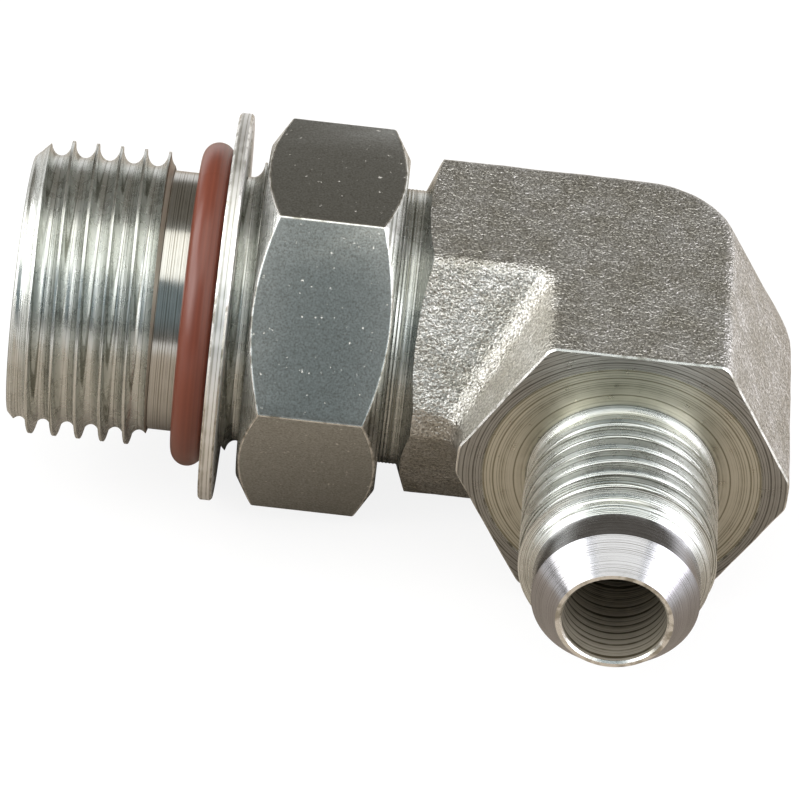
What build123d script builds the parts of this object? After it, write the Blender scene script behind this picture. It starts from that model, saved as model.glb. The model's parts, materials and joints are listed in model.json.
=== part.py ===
from build123d import *
import math
import os

# Adjustable 90 degree elbow fitting, in millimetres. The centre lines of its two passages cross at the
# origin: the port leg runs toward -X, the flared leg toward -Y, and Z is up. Distances along a leg are
# measured from the origin. Threads are plain cylinders at their major diameter.

# forged body
body_hex = 22.225               # across the flats, 7/8 inch
forging_shift = 0.3             # the forging lies this much above the machined centre lines
body_edge_round = 1.0           # along the top and bottom edges
parting_band = 2.4              # flat left on each side corner, where the dies met
crotch_round = 1.8              # hollow between the two legs
port_reach = 3.57               # hexagon of the port leg past the hollow's corner
flare_reach = 2.92              # the same on the flared leg
hex_end_inset = 0.64            # flat ring left inside the flats by the port leg's turned chamfer
chamfer_angle = 30              # of that chamfer and of the nut's

# port leg, 7/8-14 UNF
port_thread_d = 22.225
neck_depth = 0.76               # turned neck between the body and the nut's thread
neck_length = 3.2
nut_thread_length = 10.2
groove_depth = 1.36             # plain groove for the washer and the seal
groove_length = 5.45
port_thread_length = 10.55
port_lead = 1.4                 # chamfer on the front of the thread
port_bore_d = 12.3
port_bore_edge = 0.5
thread_chamfer = 0.8            # at the inner ends of the threads
drill_angle = 118

# flared leg, 9/16-18 UNF with a 37 degree seat
flare_thread_d = 14.2875
spotface_inset = 0.91           # hexagon left round the turned face
spotface_depth = 0.12
relief_depth = 0.59             # groove between the turned face and the thread
relief_length = 1.0
relief_round = 0.5
flare_thread_length = 10.2
nose_drop = 1.12                # from the thread down to the plain neck behind the seat
nose_length = 2.3
seat_angle = 37
flare_bore_d = 7.5
flare_bore_edge = 0.15
seat_lip = 0.45                 # flat ring round the mouth

# lock nut
nut_wall = 1.5875               # thread to flat, which makes it 1 inch across the flats
nut_gap = 1.45                  # from the body's shoulder
nut_washer_gap = 1.58           # from the washer
nut_turn = 5.7                  # angle of its corners past the plane of the legs
nut_end_inset = 0.25            # flat ring left inside the flats by the chamfers
nut_thread_clearance = 0.05     # radial
countersink = 0.7

# washer and seal
washer_width = 4.77             # radial
washer_thickness = 1.03
washer_edge = 0.15
washer_clearance = 0.08         # radial, on the groove
washer_setback = 0.08           # from the end of the nut's thread
seal_section_d = 2.46

position_slack = 0.01           # for picking edges by where they lie

body_corner = body_hex / math.sqrt(3)
parting_half = body_corner - parting_band / 2 / math.sqrt(3)
port_shoulder = body_corner + port_reach
flare_shoulder = body_corner + flare_reach
hex_end_r = body_hex / 2 - hex_end_inset
spotface_r = body_hex / 2 - spotface_inset

thread_r = port_thread_d / 2
neck_r = thread_r - neck_depth
groove_r = thread_r - groove_depth
neck_end = port_shoulder + neck_length
nut_thread_end = neck_end + nut_thread_length
groove_end = nut_thread_end + groove_length
port_end = groove_end + port_thread_length
port_bore_r = port_bore_d / 2

flare_r = flare_thread_d / 2
relief_r = flare_r - relief_depth
nose_r = flare_r - nose_drop
relief_end = flare_shoulder + relief_length
flare_thread_end = relief_end + flare_thread_length
nose_end = flare_thread_end + nose_length
flare_bore_r = flare_bore_d / 2
seat_tip_r = flare_bore_r + seat_lip
seat_end = nose_end + (nose_r - seat_tip_r) / math.tan(math.radians(seat_angle))

nut_bore_r = thread_r + nut_thread_clearance
nut_flat = thread_r + nut_wall
nut_corner = nut_flat * 2 / math.sqrt(3)
nut_end_r = nut_flat - nut_end_inset
washer_near_face = nut_thread_end + washer_setback
washer_bore_r = groove_r + washer_clearance
nut_near_face = port_shoulder + nut_gap
nut_far_face = washer_near_face - nut_washer_gap
nut_thickness = nut_far_face - nut_near_face
seal_r = seal_section_d / 2
seal_centre = washer_near_face + washer_thickness + seal_r
chamfer_slope = math.tan(math.radians(chamfer_angle))
drill_slope = math.tan(math.radians(drill_angle / 2))

port_plane = Plane(origin=(0, 0, 0), x_dir=(0, 1, 0), z_dir=(-1, 0, 0))
flare_plane = Plane(origin=(0, 0, 0), x_dir=(1, 0, 0), z_dir=(0, -1, 0))
forged_port_plane = Plane(origin=(0, 0, forging_shift), x_dir=(0, 1, 0), z_dir=(-1, 0, 0))
forged_flare_plane = Plane(origin=(0, 0, forging_shift), x_dir=(1, 0, 0), z_dir=(0, -1, 0))

os.makedirs("parts", exist_ok=True)

with BuildSketch() as leg_section:
    RegularPolygon(body_hex / 2, 6, major_radius=False)

with BuildPart() as elbow_body:
    with BuildSketch(forged_port_plane):
        add(leg_section.sketch)
    extrude(amount=port_shoulder)
    with BuildSketch(forged_flare_plane):
        add(leg_section.sketch)
    extrude(amount=flare_shoulder)

    # heel: half of the same section swung a quarter turn from one leg to the other
    with BuildSketch(forged_flare_plane):
        add(leg_section.sketch)
        split(bisect_by=Plane.YZ, keep=Keep.TOP)
    revolve(axis=Axis.Z, revolution_arc=90)

    # hollow where the legs meet
    across_mitre = Axis((0, 0, 0), (1, -1, 0))
    straight_edges = elbow_body.edges().filter_by(GeomType.LINE)
    fillet(straight_edges.filter_by_position(across_mitre, -position_slack, position_slack), crotch_round)

    # the outline that the dies were trimmed to, which flattens every side corner
    with BuildSketch(Plane.XY):
        with BuildLine():
            Polyline(
                (0, parting_half),
                (-port_shoulder, parting_half),
                (-port_shoulder, -parting_half),
                (-parting_half, -parting_half),
                (-parting_half, -flare_shoulder),
                (parting_half, -flare_shoulder),
                (parting_half, 0),
            )
            CenterArc((0, 0), parting_half, 0, 90)
        outline = make_face()
        fillet(outline.vertices().sort_by_distance((-parting_half, -parting_half))[0], crotch_round)
    extrude(amount=body_hex, both=True, mode=Mode.INTERSECT)

    # rounded edges of the top and bottom faces
    for flat in (elbow_body.faces().sort_by(Axis.Z)[0], elbow_body.faces().sort_by(Axis.Z)[-1]):
        fillet(flat.outer_wire().edges().sort_by(Axis.X)[1:].sort_by(Axis.Y)[1:], body_edge_round)

    # turned chamfer that cuts the port leg's hexagon into arcs
    with BuildSketch(Plane.XZ):
        with BuildLine():
            Polyline(
                (-port_shoulder, hex_end_r),
                (-port_shoulder, body_hex),
                (-port_shoulder + (body_hex - hex_end_r) * chamfer_slope, body_hex),
                close=True,
            )
        make_face()
    revolve(axis=Axis.X, mode=Mode.SUBTRACT)

    # shallow turned face on the end of the flared leg's hexagon
    with BuildSketch(flare_plane.offset(flare_shoulder)):
        Circle(spotface_r)
    extrude(amount=-spotface_depth, mode=Mode.SUBTRACT)

    # port shank: neck, nut's thread, groove, port thread
    with BuildSketch(Plane.XZ):
        with BuildLine():
            Polyline(
                (0, 0),
                (0, neck_r),
                (-neck_end, neck_r),
                (-neck_end - neck_depth, thread_r),
                (-nut_thread_end + thread_chamfer, thread_r),
                (-nut_thread_end, thread_r - thread_chamfer),
                (-nut_thread_end, groove_r),
                (-groove_end, groove_r),
                (-groove_end, thread_r - thread_chamfer),
                (-groove_end - thread_chamfer, thread_r),
                (-port_end + port_lead, thread_r),
                (-port_end, thread_r - port_lead),
                (-port_end, 0),
                close=True,
            )
        make_face()
    revolve(axis=Axis.X)

    # flared shank: relief, thread, plain neck, 37 degree seat
    with BuildSketch(Plane.XY):
        with BuildLine():
            Polyline(
                (0, 0),
                (relief_r, 0),
                (relief_r, -relief_end),
                (flare_r, -relief_end - relief_depth),
                (flare_r, -flare_thread_end + nose_drop),
                (nose_r, -flare_thread_end),
                (nose_r, -nose_end),
                (seat_tip_r, -seat_end),
                (0, -seat_end),
                close=True,
            )
        make_face()
    revolve(axis=Axis.Y)
    base = elbow_body.edges().filter_by(GeomType.CIRCLE).filter_by_position(
        Axis.Y, -flare_shoulder, -flare_shoulder + 2 * spotface_depth
    )
    fillet(base.sort_by(SortBy.RADIUS)[0], relief_round)

    # passages, the port leg's with its drill point
    with BuildSketch(Plane.XZ):
        with BuildLine():
            Polyline(
                (-port_end, 0),
                (-port_end, port_bore_r + port_bore_edge),
                (-port_end + port_bore_edge, port_bore_r),
                (flare_bore_r, port_bore_r),
                (flare_bore_r + port_bore_r / drill_slope, 0),
                close=True,
            )
        make_face()
    revolve(axis=Axis.X, mode=Mode.SUBTRACT)
    with BuildSketch(Plane.XY):
        with BuildLine():
            Polyline(
                (0, 0),
                (flare_bore_r, 0),
                (flare_bore_r, -seat_end + flare_bore_edge),
                (flare_bore_r + flare_bore_edge, -seat_end),
                (0, -seat_end),
                close=True,
            )
        make_face()
    revolve(axis=Axis.Y, mode=Mode.SUBTRACT)

with BuildPart() as lock_nut:
    with BuildSketch(port_plane.offset(nut_near_face)):
        RegularPolygon(nut_flat, 6, major_radius=False, rotation=nut_turn)
    extrude(amount=nut_thickness)
    # both end chamfers at once, as the common volume with a turned blank
    nut_slant = (nut_corner - nut_end_r) * chamfer_slope
    with BuildSketch(Plane.XZ):
        with BuildLine():
            Polyline(
                (-nut_near_face, 0),
                (-nut_near_face, nut_end_r),
                (-nut_near_face - nut_slant, nut_corner),
                (-nut_far_face + nut_slant, nut_corner),
                (-nut_far_face, nut_end_r),
                (-nut_far_face, 0),
                close=True,
            )
        make_face()
    revolve(axis=Axis.X, mode=Mode.INTERSECT)
    with BuildSketch(port_plane.offset(nut_near_face)):
        Circle(nut_bore_r)
    extrude(amount=nut_thickness, mode=Mode.SUBTRACT)
    bore_rims = lock_nut.edges().filter_by(GeomType.CIRCLE).group_by(SortBy.RADIUS)[0]
    chamfer(bore_rims, countersink)

with BuildPart() as backup_washer:
    with BuildSketch(port_plane.offset(washer_near_face)):
        Circle(washer_bore_r + washer_width)
        Circle(washer_bore_r, mode=Mode.SUBTRACT)
    extrude(amount=washer_thickness)
    rims = backup_washer.edges().filter_by(GeomType.CIRCLE).group_by(SortBy.RADIUS)
    chamfer(rims[-1], washer_edge)

with BuildPart() as o_ring:
    with BuildSketch(Plane.XZ):
        with Locations((-seal_centre, groove_r + seal_r)):
            Circle(seal_r)
    revolve(axis=Axis.X)

elbow_body.part.label = "elbow_body"
export_step(elbow_body.part, "parts/elbow_body.step")
lock_nut.part.label = "lock_nut"
export_step(lock_nut.part, "parts/lock_nut.step")
backup_washer.part.label = "backup_washer"
export_step(backup_washer.part, "parts/backup_washer.step")
o_ring.part.label = "o_ring"
export_step(o_ring.part, "parts/o_ring.step")
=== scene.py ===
import json
import math
import bpy
from mathutils import Matrix, Vector

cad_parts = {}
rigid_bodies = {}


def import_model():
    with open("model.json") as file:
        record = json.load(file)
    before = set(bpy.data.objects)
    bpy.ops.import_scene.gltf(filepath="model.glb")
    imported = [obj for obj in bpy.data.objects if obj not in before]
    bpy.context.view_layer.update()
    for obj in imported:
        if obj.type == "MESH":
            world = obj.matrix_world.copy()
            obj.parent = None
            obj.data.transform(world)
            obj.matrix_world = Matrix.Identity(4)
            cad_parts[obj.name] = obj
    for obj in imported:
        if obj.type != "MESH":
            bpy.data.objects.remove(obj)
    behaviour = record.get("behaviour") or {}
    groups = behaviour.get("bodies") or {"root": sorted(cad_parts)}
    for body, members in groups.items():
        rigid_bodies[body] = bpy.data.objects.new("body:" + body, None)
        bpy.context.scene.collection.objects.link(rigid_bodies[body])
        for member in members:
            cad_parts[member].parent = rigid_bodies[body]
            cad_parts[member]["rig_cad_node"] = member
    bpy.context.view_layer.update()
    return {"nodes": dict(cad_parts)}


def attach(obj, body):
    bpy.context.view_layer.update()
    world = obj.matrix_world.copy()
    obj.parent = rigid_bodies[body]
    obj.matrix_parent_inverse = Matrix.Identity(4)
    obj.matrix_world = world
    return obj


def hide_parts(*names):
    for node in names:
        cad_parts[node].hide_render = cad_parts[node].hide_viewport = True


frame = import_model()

# Adjustable elbow fitting. Lengths in the dictionaries are millimetres, scene units are metres.
# "t" is the distance along a leg from where the centre lines cross.
mm = 0.001
weld = 0.001 * mm  # corners nearer than this are one
slack = 0.01  # places no farther apart than this, in millimetres, count as the same
past = 1  # how far a cutting tool reaches past the part, in millimetres


def deselectAll():
    if bpy.context.object and bpy.context.object.mode != "OBJECT":
        bpy.ops.object.mode_set(mode="OBJECT")
    bpy.ops.object.select_all(action="DESELECT")


def pick(obj):
    deselectAll()
    obj.select_set(True)
    bpy.context.view_layer.objects.active = obj


def applyModifier(obj, kind, **settings):
    pick(obj)
    bpy.ops.object.modifier_add(type=kind)
    mod = obj.modifiers[-1]
    for key, value in settings.items():
        setattr(mod, key, value)
    bpy.ops.object.modifier_apply(modifier=mod.name)


# a line of edges: one vertex, pulled out from point to point
def wire(name, points):
    deselectAll()
    bpy.ops.mesh.primitive_plane_add(size=mm, location=points[0])
    obj = bpy.context.object
    obj.name = name
    bpy.ops.object.transform_apply(location=True)
    bpy.ops.object.mode_set(mode="EDIT")
    bpy.ops.mesh.select_mode(type="VERT")
    bpy.ops.mesh.select_all(action="SELECT")
    bpy.ops.mesh.merge(type="CENTER")
    for here, there in zip(points, points[1:]):
        bpy.ops.mesh.extrude_vertices_move(TRANSFORM_OT_translate={"value": there - here})
    bpy.ops.object.mode_set(mode="OBJECT")
    return obj


def cleanNormals(obj):
    pick(obj)
    bpy.ops.object.mode_set(mode="EDIT")
    bpy.ops.mesh.select_mode(type="VERT")
    bpy.ops.mesh.select_all(action="SELECT")
    bpy.ops.mesh.remove_doubles(threshold=weld)
    bpy.ops.mesh.normals_make_consistent(inside=False)
    bpy.ops.object.mode_set(mode="OBJECT")


# a point of a leg's half section, in the plane of the legs
def legPoint(leg, t, r):
    return Vector((-t, r, 0)) * mm if leg == "port" else Vector((r, -t, 0)) * mm


# a solid turned about a leg's centre line, from its half section of (t, r)
def turned(name, leg, profile, steps):
    obj = wire(name, [legPoint(leg, t, r) for t, r in profile])
    applyModifier(obj, "SCREW", axis="X" if leg == "port" else "Y", angle=math.tau, steps=steps,
                  render_steps=steps, use_merge_vertices=True, merge_threshold=weld)
    cleanNormals(obj)
    return obj


# a right-hand threaded rod with round grooves, a few turns longer than the thread it is trimmed to
def threadRod(name, leg, thread, steps):
    pitch, crest, root = thread["pitch"], thread["crest"], thread["root"]
    spareTurns = 2
    first = thread["crestAt"] + pitch * math.ceil((thread["end"] - thread["crestAt"]) / pitch + spareTurns)
    turns = math.ceil((thread["end"] - thread["start"]) / pitch) + 2 * spareTurns
    edge = thread["flat"] / 2
    angles = [math.radians(90 * k / thread["cuts"]) for k in range(thread["cuts"] + 1)]
    width, depth = pitch / 2 - edge, crest - root
    flank = [(edge + width * (1 - math.cos(a)), crest - depth * math.sin(a)) for a in angles]
    peak = [(first, crest + thread["stock"])]
    profile = [(first + x, r) for x, r in reversed(flank)] + peak + [(first - x, r) for x, r in flank]
    obj = wire(name, [legPoint(leg, t, r) for t, r in profile])
    applyModifier(obj, "SCREW", axis="X" if leg == "port" else "Y", angle=math.tau, iterations=turns,
                  screw_offset=pitch * mm, steps=steps, render_steps=steps,
                  use_merge_vertices=True, merge_threshold=weld)
    pick(obj)
    bpy.ops.object.mode_set(mode="EDIT")
    bpy.ops.mesh.select_all(action="SELECT")
    bpy.ops.mesh.remove_doubles(threshold=weld)
    bpy.ops.mesh.select_all(action="DESELECT")
    bpy.ops.mesh.select_mode(type="EDGE")
    bpy.ops.mesh.select_non_manifold()
    bpy.ops.mesh.fill_holes(sides=0)
    bpy.ops.mesh.select_mode(type="VERT")
    bpy.ops.object.mode_set(mode="OBJECT")
    cleanNormals(obj)
    return obj


def combine(obj, tool, operation):
    applyModifier(obj, "BOOLEAN", object=tool, operation=operation, solver="EXACT")
    bpy.data.objects.remove(tool)


# takes out the points that a cut leaves along an edge, where only two edges meet
def dissolveMidPoints(obj):
    pick(obj)
    bpy.ops.object.mode_set(mode="EDIT")
    bpy.ops.mesh.select_mode(type="VERT")
    bpy.ops.mesh.select_all(action="DESELECT")
    bpy.ops.object.mode_set(mode="OBJECT")
    uses = [0] * len(obj.data.vertices)
    for edge in obj.data.edges:
        for i in edge.vertices:
            uses[i] += 1
    for vertex, count in zip(obj.data.vertices, uses):
        vertex.select = count == 2
    bpy.ops.object.mode_set(mode="EDIT")
    bpy.ops.mesh.dissolve_verts()
    bpy.ops.object.mode_set(mode="OBJECT")
    print("dissolved", uses.count(2), "points of", obj.name)


def smooth(obj, degrees):
    pick(obj)
    bpy.ops.object.shade_smooth_by_angle(angle=math.radians(degrees))


def finishPiece(obj, nodeName, body, slotName, *materials):
    slots = [face.material_index for face in obj.data.polygons]
    obj.data.materials.clear()
    for material in materials:
        obj.data.materials.append(material)
    for face, index in zip(obj.data.polygons, slots):
        face.material_index = index
    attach(obj, body)
    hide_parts(nodeName)
    print("made", obj.name, len(obj.data.polygons), "faces")


# gives the faces whose centre passes the test another of the piece's materials
def paintFaces(obj, index, wanted):
    for face in obj.data.polygons:
        if wanted(face.center / mm, face.normal):
            face.material_index = index


def linear(code):
    channels = [int(code[i:i + 2], 16) / 255 for i in (1, 3, 5)]
    return tuple(c / 12.92 if c <= 0.04045 else ((c + 0.055) / 1.055) ** 2.4 for c in channels) + (1.0,)


def newMaterial(name):
    material = bpy.data.materials.new(name)
    material.use_nodes = True
    tree = material.node_tree
    tree.nodes.clear()
    return material, tree


def node(tree, kind, settings=None, inputs=None):
    made = tree.nodes.new(kind)
    for key, value in (settings or {}).items():
        setattr(made, key, value)
    for key, value in (inputs or {}).items():
        if isinstance(value, bpy.types.NodeSocket):
            tree.links.new(value, made.inputs[key])
        else:
            made.inputs[key].default_value = value
    return made


# real tool marks are 0.05 to 0.1 mm apart, and these are coarser where they would not show otherwise
turnedLook = {
    "color": "#e0e2de", "stain": "#8e8f86", "roughness": 0.27,
    "ridgePitch": 0.15, "ridgeHeight": 0.034, "metal": 1.0,
}
seatLook = {
    "color": "#b1b0b3", "stain": "#8b8989", "roughness": 0.2,
    "ridgePitch": 0.1, "ridgeHeight": 0.005, "metal": 1.0,
}
grooveLook = {
    "color": "#c8c6c1", "stain": "#98948a", "roughness": 0.18,
    "ridgePitch": 0.1, "ridgeHeight": 0.005, "metal": 1.0,
}
facedLook = {
    "color": "#cfccbe", "stain": "#938f7d", "roughness": 0.3,
    "ridgePitch": 0.17, "ridgeHeight": 0.02, "metal": 1.0,
}
sawnLook = {
    "color": "#aaa9a5", "stain": "#6f6e69", "roughness": 0.3,
    "ridgePitch": 0.15, "ridgeHeight": 0.035, "metal": 1.0,
}
rimLook = {
    "color": "#f2f1ee", "stain": "#b9b6ac", "roughness": 0.5,
    "ridgePitch": 0.3, "ridgeHeight": 0.02, "metal": 1.0,
}
boreLook = {
    "color": "#b5ae9f", "stain": "#57503f", "roughness": 0.36,
    "ridgePitch": 0.34, "ridgeHeight": 0.05, "metal": 0.5,
}


def turnedSteel(name, leg, look):
    # free-cutting steel, turned and zinc plated: fine rings round the axis draw the light out along the leg
    material, tree = newMaterial(name)
    place = node(tree, "ShaderNodeTexCoord").outputs["Object"]
    split = node(tree, "ShaderNodeSeparateXYZ", inputs={0: place})
    along, across = ("X", "Y") if leg == "port" else ("Y", "X")
    flatPlace = node(tree, "ShaderNodeCombineXYZ", inputs={
        "X": split.outputs[across], "Y": split.outputs["Z"]})
    radius = node(tree, "ShaderNodeVectorMath", {"operation": "LENGTH"}, {0: flatPlace.outputs[0]})
    profile = node(tree, "ShaderNodeMath", {"operation": "ADD"},
                   {0: split.outputs[along], 1: radius.outputs["Value"]})
    rings = node(tree, "ShaderNodeTexNoise", {"noise_dimensions": "1D"},
                 {"W": profile.outputs[0], "Scale": 1 / (look["ridgePitch"] * mm), "Detail": 3.0})
    patches = node(tree, "ShaderNodeTexNoise", inputs={"Vector": place, "Scale": 900.0, "Detail": 4.0})
    rough = node(tree, "ShaderNodeMapRange", inputs={
        "Value": patches.outputs["Fac"], "From Min": 0.3, "From Max": 0.7,
        "To Min": look["roughness"] * 0.88, "To Max": look["roughness"] * 1.15})
    mark = node(tree, "ShaderNodeMath", {"operation": "MULTIPLY_ADD"},
                {0: patches.outputs["Fac"], 1: 0.15, 2: rings.outputs["Fac"]})
    share = node(tree, "ShaderNodeMapRange", inputs={
        "Value": mark.outputs[0], "From Min": 0.44, "From Max": 0.58})
    color = node(tree, "ShaderNodeMix", {"data_type": "RGBA"}, {
        "Factor": share.outputs[0], 6: linear(look["stain"]), 7: linear(look["color"])})
    bump = node(tree, "ShaderNodeBump", inputs={
        "Height": rings.outputs["Fac"], "Distance": look["ridgeHeight"] * mm, "Strength": 1.0})
    shader = node(tree, "ShaderNodeBsdfPrincipled", inputs={
        "Base Color": color.outputs[2], "Metallic": look["metal"], "Roughness": rough.outputs[0],
        "Normal": bump.outputs[0]})
    node(tree, "ShaderNodeOutputMaterial", inputs={"Surface": shader.outputs[0]})
    return material


forgedLook = {
    "high": "#f0eeea", "low": "#a29f98", "roughness": 0.33, "grit": 0.17, "gritHeight": 0.1, "lump": 0.45,
    "lumpHeight": 0.2, "tide": 2.6, "tideDark": "#e2e0da",
}


def forgedSteel(name, look):
    # drop-forged steel, shot-blasted and zinc plated: a sandy grain whose peaks sparkle, over small lumps
    material, tree = newMaterial(name)
    place = node(tree, "ShaderNodeTexCoord").outputs["Object"]
    grit = node(tree, "ShaderNodeTexNoise", inputs={
        "Vector": place, "Scale": 1 / (look["grit"] * mm), "Detail": 1.5, "Roughness": 0.6})
    lumps = node(tree, "ShaderNodeTexNoise", inputs={
        "Vector": place, "Scale": 1 / (look["lump"] * mm), "Detail": 2.5, "Roughness": 0.65})
    tides = node(tree, "ShaderNodeTexNoise", inputs={
        "Vector": place, "Scale": 1 / (look["tide"] * mm), "Detail": 3.0, "Roughness": 0.6})
    share = node(tree, "ShaderNodeMapRange", inputs={
        "Value": grit.outputs["Fac"], "From Min": 0.36, "From Max": 0.66})
    plain = node(tree, "ShaderNodeMix", {"data_type": "RGBA"}, {
        "Factor": share.outputs[0], 6: linear(look["low"]), 7: linear(look["high"])})
    dulled = node(tree, "ShaderNodeMapRange", inputs={
        "Value": tides.outputs["Fac"], "From Min": 0.35, "From Max": 0.65})
    color = node(tree, "ShaderNodeMix", {"data_type": "RGBA", "blend_type": "MULTIPLY"}, {
        "Factor": dulled.outputs[0], 6: plain.outputs[2], 7: linear(look["tideDark"])})
    lumpy = node(tree, "ShaderNodeBump", inputs={
        "Height": lumps.outputs["Fac"], "Distance": look["lumpHeight"] * mm, "Strength": 1.0})
    bump = node(tree, "ShaderNodeBump", inputs={
        "Height": grit.outputs["Fac"], "Distance": look["gritHeight"] * mm, "Strength": 1.0,
        "Normal": lumpy.outputs[0]})
    shader = node(tree, "ShaderNodeBsdfPrincipled", inputs={
        "Base Color": color.outputs[2], "Metallic": 1.0, "Roughness": look["roughness"],
        "Normal": bump.outputs[0]})
    node(tree, "ShaderNodeOutputMaterial", inputs={"Surface": shader.outputs[0]})
    return material


satinLook = {
    "color": "#babbb7", "fleck": "#908e87", "roughness": 0.3, "speck": 0.15, "speckHeight": 0.008,
    "wave": 2.2, "waveHeight": 0.03, "nick": "#e9e7e0", "nickSize": 0.45, "nickRoughness": 0.7,
}


def satinSteel(name, look):
    # cold-drawn bar, zinc plated: satin faces with fine specks, small nicks and the slow waver of drawing
    material, tree = newMaterial(name)
    place = node(tree, "ShaderNodeTexCoord").outputs["Object"]
    specks = node(tree, "ShaderNodeTexNoise", inputs={
        "Vector": place, "Scale": 1 / (look["speck"] * mm), "Detail": 3.0, "Roughness": 0.6})
    waves = node(tree, "ShaderNodeTexNoise", inputs={
        "Vector": place, "Scale": 1 / (look["wave"] * mm), "Detail": 2.0})
    share = node(tree, "ShaderNodeMapRange", inputs={
        "Value": specks.outputs["Fac"], "From Min": 0.3, "From Max": 0.65})
    plain = node(tree, "ShaderNodeMix", {"data_type": "RGBA"}, {
        "Factor": share.outputs[0], 6: linear(look["fleck"]), 7: linear(look["color"])})
    knocks = node(tree, "ShaderNodeTexNoise", inputs={
        "Vector": place, "Scale": 1 / (look["nickSize"] * mm), "Detail": 2.0, "Roughness": 0.7})
    nicked = node(tree, "ShaderNodeMapRange", inputs={
        "Value": knocks.outputs["Fac"], "From Min": 0.69, "From Max": 0.73})
    color = node(tree, "ShaderNodeMix", {"data_type": "RGBA"}, {
        "Factor": nicked.outputs[0], 6: plain.outputs[2], 7: linear(look["nick"])})
    rough = node(tree, "ShaderNodeMapRange", inputs={
        "Value": nicked.outputs[0], "To Min": look["roughness"], "To Max": look["nickRoughness"]})
    slow = node(tree, "ShaderNodeBump", inputs={
        "Height": waves.outputs["Fac"], "Distance": look["waveHeight"] * mm, "Strength": 1.0})
    bump = node(tree, "ShaderNodeBump", inputs={
        "Height": specks.outputs["Fac"], "Distance": look["speckHeight"] * mm, "Strength": 1.0,
        "Normal": slow.outputs[0]})
    shader = node(tree, "ShaderNodeBsdfPrincipled", inputs={
        "Base Color": color.outputs[2], "Metallic": 1.0, "Roughness": rough.outputs[0],
        "Normal": bump.outputs[0]})
    node(tree, "ShaderNodeOutputMaterial", inputs={"Surface": shader.outputs[0]})
    return material


wornHighlightLook = {"color": "#f4f3ee", "under": "#b5b2a8", "roughness": 0.25, "nick": 0.9}


def wornEdgeWithHighlight(name, look):
    # plating rubbed thin on the edges, real wear with a painted highlight over it: brighter than the faces,
    # broken by nicks
    material, tree = newMaterial(name)
    place = node(tree, "ShaderNodeTexCoord").outputs["Object"]
    nicks = node(tree, "ShaderNodeTexNoise", inputs={
        "Vector": place, "Scale": 1 / (look["nick"] * mm), "Detail": 3.0})
    share = node(tree, "ShaderNodeMapRange", inputs={
        "Value": nicks.outputs["Fac"], "From Min": 0.38, "From Max": 0.52})
    color = node(tree, "ShaderNodeMix", {"data_type": "RGBA"}, {
        "Factor": share.outputs[0], 6: linear(look["under"]), 7: linear(look["color"])})
    shader = node(tree, "ShaderNodeBsdfPrincipled", inputs={
        "Base Color": color.outputs[2], "Metallic": 1.0, "Roughness": look["roughness"]})
    node(tree, "ShaderNodeOutputMaterial", inputs={"Surface": shader.outputs[0]})
    return material


rubberLook = {"color": "#793f2e", "streak": "#542a1f", "roughness": 0.3, "line": 0.35, "lineHeight": 0.01}


def sealRubber(name, look):
    # nitrile rubber, moulded: a soft gloss with faint streaks round the ring
    material, tree = newMaterial(name)
    place = node(tree, "ShaderNodeTexCoord").outputs["Object"]
    split = node(tree, "ShaderNodeSeparateXYZ", inputs={0: place})
    flatPlace = node(tree, "ShaderNodeCombineXYZ", inputs={"X": split.outputs["Y"], "Y": split.outputs["Z"]})
    radius = node(tree, "ShaderNodeVectorMath", {"operation": "LENGTH"}, {0: flatPlace.outputs[0]})
    around = node(tree, "ShaderNodeMath", {"operation": "SUBTRACT"},
                  {0: split.outputs["X"], 1: radius.outputs["Value"]})
    streaks = node(tree, "ShaderNodeTexNoise", {"noise_dimensions": "1D"},
                   {"W": around.outputs[0], "Scale": 1 / (look["line"] * mm), "Detail": 2.0})
    color = node(tree, "ShaderNodeMix", {"data_type": "RGBA"}, {
        "Factor": streaks.outputs["Fac"], 6: linear(look["streak"]), 7: linear(look["color"])})
    bump = node(tree, "ShaderNodeBump", inputs={
        "Height": streaks.outputs["Fac"], "Distance": look["lineHeight"] * mm, "Strength": 1.0})
    shader = node(tree, "ShaderNodeBsdfPrincipled", inputs={
        "Base Color": color.outputs[2], "Roughness": look["roughness"], "Normal": bump.outputs[0]})
    node(tree, "ShaderNodeOutputMaterial", inputs={"Surface": shader.outputs[0]})
    return material


portLeg = {
    "shoulder": 16.41, "neck": 10.35, "neckEnd": 19.9, "ridge": 0.26, "ridgeDepth": 0.05,
    "nutThreadStart": 19.4, "nutThreadEnd": 29.8, "rootDrop": 0.2, "endChamfer": 0.8,
    "groove": 9.75, "grooveEnd": 35.25, "runOut": 0.45, "end": 45.8, "lead": 1.4,
    "bore": 6.15, "boreEdge": 0.5, "steps": 160, "smoothBelow": 25,
}
portThread = {
    "pitch": 25.4 / 14, "crest": 11.09, "root": 9.9, "flat": 0.2, "stock": 0.3,
    "crestAt": 43.364, "start": 19.0, "end": 45.8, "cuts": 6,
}


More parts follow.
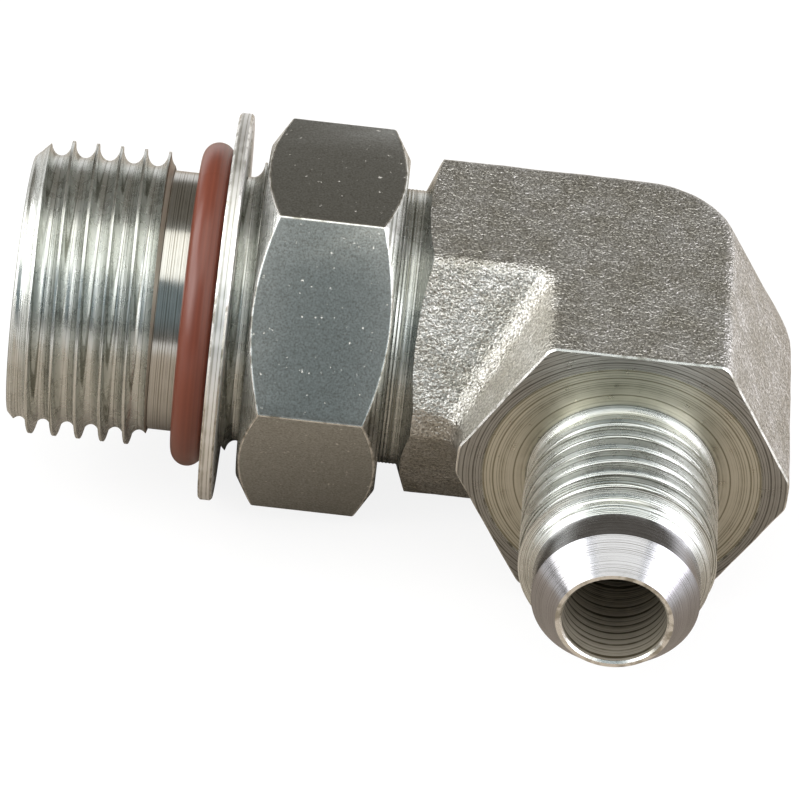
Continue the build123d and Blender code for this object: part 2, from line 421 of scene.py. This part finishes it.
def makePortShank(cut, thread):
    crest, end, bore = thread["crest"], cut["end"], cut["bore"]
    first, foot, last = cut["nutThreadStart"], cut["neck"] - cut["rootDrop"], cut["nutThreadEnd"]
    envelope = [
        (first, 0), (first, foot), (first + crest - foot, crest),
        (last - cut["endChamfer"], crest), (last, crest - cut["endChamfer"]), (last, cut["groove"]),
        (cut["grooveEnd"], cut["groove"]), (cut["grooveEnd"] + cut["runOut"], crest),
        (end - cut["lead"], crest), (end, crest - cut["lead"]), (end, 0)]
    shank = turned("port_shank", "port", envelope, cut["steps"])
    combine(shank, threadRod("rod", "port", thread, cut["steps"]), "INTERSECT")
    ridges = []
    t = cut["shoulder"]
    while t < cut["neckEnd"]:
        ridges += [(t, cut["neck"]), (t + cut["ridge"] / 2, cut["neck"] - cut["ridgeDepth"])]
        t += cut["ridge"]
    neck = turned("neck", "port", [(cut["shoulder"], 0)] + ridges + [(ridges[-1][0], 0)], cut["steps"])
    combine(shank, neck, "UNION")
    drill = [
        (cut["shoulder"] - past, 0), (cut["shoulder"] - past, bore), (end - cut["boreEdge"], bore),
        (end + past, bore + cut["boreEdge"] + past), (end + past, 0)]
    combine(shank, turned("drill", "port", drill, cut["steps"]), "DIFFERENCE")
    cleanNormals(shank)
    dissolveMidPoints(shank)
    smooth(shank, cut["smoothBelow"])
    # materials by place: 1 passage and run-out, 2 the groove's smooth floor
    groove, runOut = -cut["grooveEnd"], cut["runOut"]
    paintFaces(shank, 1, lambda c, n: math.hypot(c.y, c.z) < bore + slack and abs(n.x) < 0.5)
    paintFaces(shank, 1, lambda c, n: groove - runOut < c.x < groove + slack and n.x > 0.5)
    paintFaces(shank, 2, lambda c, n: groove < c.x < -last and abs(n.x) < 0.3)
    return shank


flareLeg = {
    "start": 15.5, "relief": 6.55, "reliefEnd": 16.95, "reliefRound": 0.5, "face": 15.63, "rootDrop": 0.15,
    "threadStart": 16.6, "threadEnd": 26.95, "nose": 6.02, "noseEnd": 29.25, "tip": 4.2, "tipAt": 31.665,
    "bore": 3.75, "boreEdge": 0.15, "steps": 144, "smoothBelow": 25,
}
flareThread = {
    "pitch": 25.4 / 18, "crest": 7.12, "root": 6.27, "flat": 0.14, "stock": 0.3,
    "crestAt": 17.877, "start": 16.0, "end": 31.7, "cuts": 5,
}


def makeFlareShank(cut, thread):
    crest, relief, nose, last = thread["crest"], cut["relief"], cut["nose"], cut["threadEnd"]
    tipAt, bore, boreEdge = cut["tipAt"], cut["bore"], cut["boreEdge"]
    first, foot = cut["threadStart"], relief - cut["rootDrop"]
    envelope = [
        (first, 0), (first, foot), (first + crest - foot, crest), (last - crest + nose, crest),
        (last, nose), (cut["noseEnd"], nose), (tipAt, cut["tip"]), (tipAt, 0)]
    shank = turned("flare_shank", "flare", envelope, cut["steps"])
    combine(shank, threadRod("rod", "flare", thread, cut["steps"]), "INTERSECT")
    # the relief rises to the spotface in a quarter round
    start, face, bend = cut["start"], cut["face"], cut["reliefRound"]
    angles = [math.radians(90 - 15 * k) for k in range(7)]
    corner = [(face + bend * (1 - math.sin(a)), relief + bend * (1 - math.cos(a))) for a in angles]
    base = [(start, 0), (start, relief + bend)] + corner + [(cut["reliefEnd"], relief), (cut["reliefEnd"], 0)]
    combine(shank, turned("base", "flare", base, cut["steps"]), "UNION")
    drill = [
        (start - past, 0), (start - past, bore), (tipAt - boreEdge, bore),
        (tipAt + past, bore + boreEdge + past), (tipAt + past, 0)]
    combine(shank, turned("drill", "flare", drill, cut["steps"]), "DIFFERENCE")
    cleanNormals(shank)
    dissolveMidPoints(shank)
    smooth(shank, cut["smoothBelow"])
    # materials by place: 1 passage, 2 the lip worn bright with a painted highlight, 3 the smooth neck and
    # seat
    paintFaces(shank, 3, lambda c, n: c.y < -last)
    paintFaces(shank, 1, lambda c, n: math.hypot(c.x, c.z) < bore + slack and abs(n.y) < 0.5)
    paintFaces(shank, 2, lambda c, n: c.y < -tipAt + boreEdge + slack and n.y < -0.6
               and math.hypot(c.x, c.z) < cut["tip"])
    return shank


forgedCut = {
    "trim": 14.4, "stock": 20.0, "skin": 8.0, "grain": 0.3, "soften": 5, "wave": 3.0, "waveHeight": 0.12,
    "portEnd": 16.4, "endRing": 10.4, "chamfer": 22, "chamferIn": 9.5, "chamferDepth": 2.5, "ringOuter": 20.0,
    "flareEnd": 15.752, "spotface": 10.2, "spotfaceEnd": 15.63, "portBore": 6.15, "flareBore": 3.75,
    "drillTip": 118, "edge": 0.12, "steps": 128, "smoothBelow": 28,
}


# selects the faces whose corners all pass the test
def selectFaces(obj, wanted):
    pick(obj)
    bpy.ops.object.mode_set(mode="EDIT")
    bpy.ops.mesh.select_mode(type="FACE")
    bpy.ops.mesh.select_all(action="DESELECT")
    bpy.ops.object.mode_set(mode="OBJECT")
    corners = obj.data.vertices
    for face in obj.data.polygons:
        face.select = all(wanted(corners[i].co / mm) for i in face.vertices)
    bpy.ops.object.mode_set(mode="EDIT")


# cuts a leg off square and pulls its outline out to a longer end, as the stock was before it was machined;
# the passage's edges, which are nearer to the centre line than the skin, stay
def lengthen(obj, outward, trim, stock, skin):
    selectFaces(obj, lambda v: True)
    bpy.ops.mesh.bisect(plane_co=outward * trim * mm, plane_no=outward, clear_outer=True)
    bpy.ops.mesh.select_mode(type="EDGE")
    bpy.ops.mesh.select_all(action="DESELECT")
    bpy.ops.mesh.select_non_manifold()
    bpy.ops.object.mode_set(mode="OBJECT")
    corners = obj.data.vertices
    for edge in obj.data.edges:
        ends = [corners[i].co / mm for i in edge.vertices]
        atTrim = all(abs(v.dot(outward) - trim) < slack for v in ends)
        edge.select = edge.select and atTrim and all((v - outward * trim).length > skin for v in ends)
    bpy.ops.object.mode_set(mode="EDIT")
    bpy.ops.mesh.extrude_edges_move(TRANSFORM_OT_translate={"value": outward * (stock - trim) * mm})
    bpy.ops.mesh.edge_face_add()
    bpy.ops.object.mode_set(mode="OBJECT")


# cuts the piece off square again and closes it, with the new edge broken by a narrow chamfer
def faceOff(obj, outward, end, edge):
    inner = end - edge
    selectFaces(obj, lambda v: True)
    bpy.ops.mesh.bisect(plane_co=outward * inner * mm, plane_no=outward, clear_outer=True, use_fill=True)
    selectFaces(obj, lambda v: v.dot(outward) > inner - weld / mm)
    bpy.ops.mesh.inset(thickness=edge * mm, depth=edge * mm)
    bpy.ops.object.mode_set(mode="OBJECT")


def makeForgedBody(cut):
    pick(frame["nodes"]["elbow_body"])
    bpy.ops.object.duplicate()
    body = bpy.context.object
    body.name = "forged_body"
    body.parent = None
    del body["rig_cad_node"]
    body.data.materials.clear()
    cleanNormals(body)
    port, flare = Vector((-1, 0, 0)), Vector((0, -1, 0))
    lengthen(body, port, cut["trim"], cut["stock"], cut["skin"])
    lengthen(body, flare, cut["trim"], cut["stock"], cut["skin"])
    # only the outer skin stays, the passages are drilled again below
    pick(body)
    bpy.ops.object.mode_set(mode="EDIT")
    bpy.ops.mesh.select_mode(type="VERT")
    bpy.ops.mesh.select_all(action="DESELECT")
    bpy.ops.object.mode_set(mode="OBJECT")
    outermost = max(body.data.vertices, key=lambda v: v.co.x)
    outermost.select = True
    bpy.ops.object.mode_set(mode="EDIT")
    bpy.ops.mesh.select_linked()
    bpy.ops.mesh.select_all(action="INVERT")
    bpy.ops.mesh.delete(type="VERT")
    bpy.ops.object.mode_set(mode="OBJECT")
    cleanNormals(body)

    # the dies leave no sharp edge and no true plane
    applyModifier(body, "REMESH", mode="VOXEL", voxel_size=cut["grain"] * mm)
    applyModifier(body, "SMOOTH", factor=0.5, iterations=cut["soften"])
    waver = bpy.data.textures.new("waver", "CLOUDS")
    waver.noise_scale = cut["wave"] * mm
    applyModifier(body, "DISPLACE", texture=waver, texture_coords="LOCAL", strength=cut["waveHeight"] * mm)

    # machining: both ends faced, the port end turned to a chamfer, the spotface, the passages
    portEnd, flareEnd, endRing, outer = cut["portEnd"], cut["flareEnd"], cut["endRing"], cut["ringOuter"]
    portBore, flareBore = cut["portBore"], cut["flareBore"]
    faceOff(body, port, portEnd, cut["edge"])
    faceOff(body, flare, flareEnd, cut["edge"])
    slope = math.tan(math.radians(cut["chamfer"]))
    ring = [(portEnd + past, endRing - past / slope), (portEnd + past, outer),
            (portEnd - (outer - endRing) * slope, outer), (portEnd + past, endRing - past / slope)]
    combine(body, turned("ring", "port", ring, cut["steps"]), "DIFFERENCE")
    spot = [(cut["spotfaceEnd"], 0), (cut["spotfaceEnd"], cut["spotface"]),
            (flareEnd + slack, cut["spotface"] + cut["edge"]), (flareEnd + slack, 0)]
    combine(body, turned("spot", "flare", spot, cut["steps"]), "DIFFERENCE")
    point = flareBore + portBore / math.tan(math.radians(cut["drillTip"] / 2))
    drill = [(portEnd + past, 0), (portEnd + past, portBore), (-flareBore, portBore), (-point, 0)]
    combine(body, turned("drill", "port", drill, cut["steps"]), "DIFFERENCE")
    drill = [(flareEnd + past, 0), (flareEnd + past, flareBore), (0, flareBore), (0, 0)]
    combine(body, turned("drill", "flare", drill, cut["steps"]), "DIFFERENCE")
    cleanNormals(body)
    smooth(body, cut["smoothBelow"])

    # materials by place: 1 spotface, 2 turned chamfer, 3 worn edges with a painted highlight, 4 passages, 5
    # cut end
    chamferEnd = portEnd - cut["chamferDepth"]
    paintFaces(body, 1, lambda c, n: abs(c.y + cut["spotfaceEnd"]) < slack and n.y < -0.9)
    paintFaces(body, 5, lambda c, n: abs(c.y + flareEnd) < slack and n.y < -0.9)
    paintFaces(body, 2, lambda c, n: c.x < -chamferEnd and n.x < -0.7
               and math.hypot(c.y, c.z) > cut["chamferIn"])
    paintFaces(body, 3, lambda c, n: c.y < -flareEnd + cut["edge"] + slack and n.y > -0.9)
    paintFaces(body, 4, lambda c, n: math.hypot(c.y, c.z) < portBore + slack and abs(n.x) < 0.9
               and c.x < point)
    paintFaces(body, 4, lambda c, n: math.hypot(c.x, c.z) < flareBore + slack and abs(n.y) < 0.5)
    return body


lockNut = {
    "flat": 12.7, "near": 17.85, "far": 28.3, "endRing": 12.45, "chamfer": 32, "turn": 5.7, "edge": 0.12,
    "bore": 11.16, "countersink": 0.7, "steps": 144, "smoothBelow": 24,
}


def makeNut(cut):
    start, end, endRing = cut["near"], cut["far"], cut["endRing"]
    corner = cut["flat"] / math.cos(math.radians(30))
    deselectAll()
    bpy.ops.mesh.primitive_cylinder_add(
        vertices=6, radius=corner * mm, depth=(end - start + 2 * past) * mm,
        location=(-(start + end) / 2 * mm, 0, 0), rotation=(0, math.radians(90), 0))
    bpy.ops.object.transform_apply()
    nut = bpy.context.object
    nut.name = "hex_nut"
    nut.rotation_euler.x = -math.radians(cut["turn"])
    bpy.ops.object.transform_apply()
    cleanNormals(nut)
    slant = (corner + past - endRing) * math.tan(math.radians(cut["chamfer"]))
    blank = [(start, 0), (start, endRing), (start + slant, corner + past), (end - slant, corner + past),
             (end, endRing), (end, 0)]
    combine(nut, turned("blank", "port", blank, cut["steps"]), "INTERSECT")
    sink, mouth = cut["countersink"], cut["bore"] + cut["countersink"] + past
    bore = [(start - past, 0), (start - past, mouth), (start + sink, cut["bore"]), (end - sink, cut["bore"]),
            (end + past, mouth), (end + past, 0)]
    combine(nut, turned("bore", "port", bore, cut["steps"]), "DIFFERENCE")
    cleanNormals(nut)
    # materials by place: 1 turned faces and bore, 2 the edges that the bevel breaks, worn and with a painted
    # highlight
    nut.data.materials.clear()
    for material in (satin, turnedPort, wearAndPaintedHighlight):
        nut.data.materials.append(material)
    paintFaces(nut, 1, lambda c, n: abs(n.x) > 0.3 or math.hypot(c.y, c.z) < cut["bore"] + slack)
    applyModifier(nut, "BEVEL", width=cut["edge"] * mm, segments=2, limit_method="ANGLE",
                  angle_limit=math.radians(cut["smoothBelow"]), material=2)
    cleanNormals(nut)
    smooth(nut, cut["smoothBelow"])
    return nut


backupWasher = {
    "near": 29.882, "far": 30.912, "outer": 14.602, "inner": 9.833, "edge": 0.16,
    "steps": 192, "smoothBelow": 30,
}


def makeWasher(cut):
    start, end, outer, inner, edge = cut["near"], cut["far"], cut["outer"], cut["inner"], cut["edge"]
    section = [(start, inner), (start, outer - edge), (start + edge, outer), (end - edge, outer),
               (end, outer - edge), (end, inner), (start, inner)]
    washer = turned("flat_washer", "port", section, cut["steps"])
    smooth(washer, cut["smoothBelow"])
    # materials by place: 1 the broken edges, worn and with a painted highlight
    paintFaces(washer, 1, lambda c, n: 0.3 < abs(n.x) < 0.9)
    return washer


turnedPort = turnedSteel("steel, turned and zinc plated, port leg", "port", turnedLook)
turnedFlare = turnedSteel("steel, turned and zinc plated, flared leg", "flare", turnedLook)
smoothPort = turnedSteel("steel, fine turned and zinc plated, port leg", "port", grooveLook)
smoothFlare = turnedSteel("steel, fine turned and zinc plated, flared leg", "flare", seatLook)
forged = forgedSteel("steel, drop forged and zinc plated", forgedLook)
facedFlare = turnedSteel("steel, faced and zinc plated", "flare", facedLook)
sawnFlare = turnedSteel("steel, cut off and zinc plated", "flare", sawnLook)
stampedRim = turnedSteel("steel strip, stamped and zinc plated", "port", rimLook)
borePort = turnedSteel("steel, drilled and zinc plated, port leg", "port", boreLook)
boreFlare = turnedSteel("steel, drilled and zinc plated, flared leg", "flare", boreLook)
satin = satinSteel("steel bar, cold drawn and zinc plated", satinLook)
wearAndPaintedHighlight = wornEdgeWithHighlight("zinc plating, rubbed bright, with painted highlight", wornHighlightLook)
rubber = sealRubber("nitrile rubber, moulded", rubberLook)
print("materials ready", len(bpy.data.materials))

forgedBody = makeForgedBody(forgedCut)
portShank = makePortShank(portLeg, portThread)
flareShank = makeFlareShank(flareLeg, flareThread)
finishPiece(portShank, "elbow_body", "elbow", "body_plating", turnedPort, borePort, smoothPort)
finishPiece(flareShank, "elbow_body", "elbow", "body_plating", turnedFlare, boreFlare, wearAndPaintedHighlight, smoothFlare)
finishPiece(forgedBody, "elbow_body", "elbow", "body_plating", forged, facedFlare, turnedPort, wearAndPaintedHighlight, borePort,
            sawnFlare)
nutPiece = makeNut(lockNut)
finishPiece(nutPiece, "lock_nut", "nut", "nut_plating", satin, turnedPort, wearAndPaintedHighlight)
washerPiece = makeWasher(backupWasher)
finishPiece(washerPiece, "backup_washer", "washer", "washer_plating", stampedRim, wearAndPaintedHighlight)

seal = frame["nodes"]["o_ring"]
seal.data.materials.clear()
seal.data.materials.append(rubber)

# the part lies on its washer's rim and its body's edge, so the ground is tilted under it
stand = {
    "tilt": 5.42, "under": (5.9, 0, -10.81), "size": 3000, "glow": 0.86, "paper": "#f4f3f1",
    # painted shade: the shade colour is a darker paper colour that the metal mirrors round the part, fading
    # out between shadeFrom and shadeTo
    "shade": "#91887d", "over": (-19, -1, 0), "squeeze": (0.7, 0.45, 1), "shadeFrom": 28, "shadeTo": 70,
}


def makeFloor(look):
    deselectAll()
    bpy.ops.mesh.primitive_plane_add(size=look["size"] * mm, location=Vector(look["under"]) * mm,
                                     rotation=(0, -math.radians(look["tilt"]), 0))
    floor = bpy.context.object
    floor.name = "floor"
    material, tree = newMaterial("paper, white, with painted shade round the part")
    path = node(tree, "ShaderNodeLightPath")
    # painted shade: close round the part, what the metal mirrors is the paper in a darker painted colour that
    # stands in for the part's own shade
    place = node(tree, "ShaderNodeTexCoord").outputs["Object"]
    squeezed = node(tree, "ShaderNodeMapping", inputs={"Vector": place, "Scale": look["squeeze"]})
    away = node(tree, "ShaderNodeVectorMath", {"operation": "DISTANCE"},
                {0: squeezed.outputs[0], 1: Vector(look["over"]) * mm})
    clear = node(tree, "ShaderNodeMapRange", {"interpolation_type": "SMOOTHSTEP"}, {
        "Value": away.outputs["Value"], "From Min": look["shadeFrom"] * mm, "From Max": look["shadeTo"] * mm})
    glossy = node(tree, "ShaderNodeMath", {"operation": "MULTIPLY"},
                  {0: path.outputs["Is Glossy Ray"], 1: clear.outputs[0]})
    seen = node(tree, "ShaderNodeMath", {"operation": "MAXIMUM"},
                {0: path.outputs["Is Camera Ray"], 1: path.outputs["Is Transmission Ray"]})
    shown = node(tree, "ShaderNodeMath", {"operation": "MAXIMUM"}, {0: seen.outputs[0], 1: glossy.outputs[0]})
    # painted shade: every ray except camera and transmission rays sees the paper in the darker shade colour
    tone = node(tree, "ShaderNodeMix", {"data_type": "RGBA"}, {
        "Factor": seen.outputs[0], 6: linear(look["shade"]), 7: linear(look["paper"])})
    paper = node(tree, "ShaderNodeBsdfDiffuse", inputs={"Color": tone.outputs[2]})
    white = node(tree, "ShaderNodeEmission", inputs={"Color": (1, 1, 1, 1), "Strength": 1.0})
    share = node(tree, "ShaderNodeMath", {"operation": "MULTIPLY"}, {0: shown.outputs[0], 1: look["glow"]})
    mixed = node(tree, "ShaderNodeMixShader", inputs={
        0: share.outputs[0], 1: paper.outputs[0], 2: white.outputs[0]})
    node(tree, "ShaderNodeOutputMaterial", inputs={"Surface": mixed.outputs[0]})
    floor.data.materials.append(material)


# the room that the metal mirrors; From and To are parts of a unit direction
room = {
    "horizon": "#f4f4f4", "low": "#5e564d", "front": "#7d8c92", "behind": "#706c64", "fill": "#e8e8e8",
    "wallFrom": 0.02, "wallTo": 0.24, "frontFrom": -0.1, "frontTo": 0.45, "sideFrom": -0.4, "sideTo": 0.4,
}


def makeWorld(look):
    world = bpy.data.worlds.new("studio")
    bpy.context.scene.world = world
    world.use_nodes = True
    tree = world.node_tree
    tree.nodes.clear()
    path = node(tree, "ShaderNodeLightPath")
    direction = node(tree, "ShaderNodeTexCoord").outputs["Generated"]
    split = node(tree, "ShaderNodeSeparateXYZ", inputs={0: direction})
    side = node(tree, "ShaderNodeMapRange", inputs={
        "Value": split.outputs["Y"], "From Min": look["sideFrom"], "From Max": look["sideTo"]})
    rise = node(tree, "ShaderNodeMapRange", {"interpolation_type": "SMOOTHSTEP"}, {
        "Value": split.outputs["Z"], "From Min": look["wallFrom"], "From Max": look["wallTo"]})
    lift = node(tree, "ShaderNodeMapRange", {"interpolation_type": "SMOOTHSTEP"}, {
        "Value": split.outputs["Z"], "From Min": look["frontFrom"], "From Max": look["frontTo"]})
    ahead = node(tree, "ShaderNodeMix", {"data_type": "RGBA"}, {
        "Factor": lift.outputs[0], 6: linear(look["low"]), 7: linear(look["front"])})
    back = node(tree, "ShaderNodeMix", {"data_type": "RGBA"}, {
        "Factor": rise.outputs[0], 6: linear(look["horizon"]), 7: linear(look["behind"])})
    studio = node(tree, "ShaderNodeMix", {"data_type": "RGBA"}, {
        "Factor": side.outputs[0], 6: ahead.outputs[2], 7: back.outputs[2]})
    color = node(tree, "ShaderNodeMix", {"data_type": "RGBA"}, {
        "Factor": path.outputs["Is Glossy Ray"], 6: linear(look["fill"]), 7: studio.outputs[2]})
    seen = node(tree, "ShaderNodeMath", {"operation": "MAXIMUM"},
                {0: path.outputs["Is Camera Ray"], 1: path.outputs["Is Transmission Ray"]})
    around = node(tree, "ShaderNodeBackground", inputs={"Color": color.outputs[2], "Strength": 1.0})
    white = node(tree, "ShaderNodeBackground", inputs={"Color": (1, 1, 1, 1), "Strength": 1.0})
    mixed = node(tree, "ShaderNodeMixShader", inputs={
        0: seen.outputs[0], 1: around.outputs[0], 2: white.outputs[0]})
    node(tree, "ShaderNodeOutputWorld", inputs={"Surface": mixed.outputs[0]})


# softboxes round the part, azimuth 0 on the camera's side
lampDistance = 500
lampAim = (-15, -5, 0)
lamps = {
    "overhead": {"elevation": 78, "azimuth": 0, "size": (600, 420), "strength": 1.6, "color": "#fffdf6"},
    "left": {"elevation": 24, "azimuth": -90, "size": (560, 380), "strength": 3.3, "color": "#ffffff"},
    "right": {"elevation": 24, "azimuth": 90, "size": (560, 380), "strength": 3.3, "color": "#f8f6ff"},
    "front left": {"elevation": 28, "azimuth": -52, "size": (260, 360), "strength": 2.1, "color": "#ffffff"},
    "front right": {"elevation": 28, "azimuth": 52, "size": (260, 360), "strength": 2.1, "color": "#ffffff"},
}


def makeSoftbox(name, look):
    e, a = math.radians(look["elevation"]), math.radians(look["azimuth"])
    direction = Vector((math.sin(a) * math.cos(e), -math.cos(a) * math.cos(e), math.sin(e)))
    place = Vector(lampAim) * mm + direction * lampDistance * mm
    width, height = (side * mm for side in look["size"])
    bpy.ops.object.light_add(type="AREA", location=place)
    lamp = bpy.context.object
    lamp.name = name
    lamp.rotation_euler = direction.to_track_quat("Z", "Y").to_euler()
    lamp.data.shape = "RECTANGLE"
    lamp.data.size, lamp.data.size_y = width, height
    lamp.data.energy = look["strength"] * math.pi * width * height
    lamp.data.color = linear(look["color"])[:3]


# place, lens and the directions of the camera's own axes, worked out for a frame of 800 x 800 pixels
camera = {
    "place": (-19.066, -335.834, 253.230), "lens": 251.894, "sensor": 36, "clipStart": 10,
    "right": (0.99372, 0.06397, 0.09186), "up": (-0.11179, 0.60913, 0.78515),
    "back": (-0.00572, -0.79049, 0.61245),
}


def makeCamera(look):
    data = bpy.data.cameras.new("camera")
    obj = bpy.data.objects.new("camera", data)
    bpy.context.scene.collection.objects.link(obj)
    turn = Matrix([look["right"], look["up"], look["back"]]).transposed().to_4x4()
    obj.matrix_world = Matrix.Translation(Vector(look["place"]) * mm) @ turn
    data.sensor_width = look["sensor"]
    data.lens = look["lens"]
    data.clip_start = look["clipStart"] * mm
    bpy.context.scene.camera = obj


makeFloor(stand)
makeWorld(room)
for lampName, lampLook in lamps.items():
    makeSoftbox(lampName, lampLook)
makeCamera(camera)
bpy.context.scene.view_settings.view_transform = "Standard"
print("floor, light and camera placed")
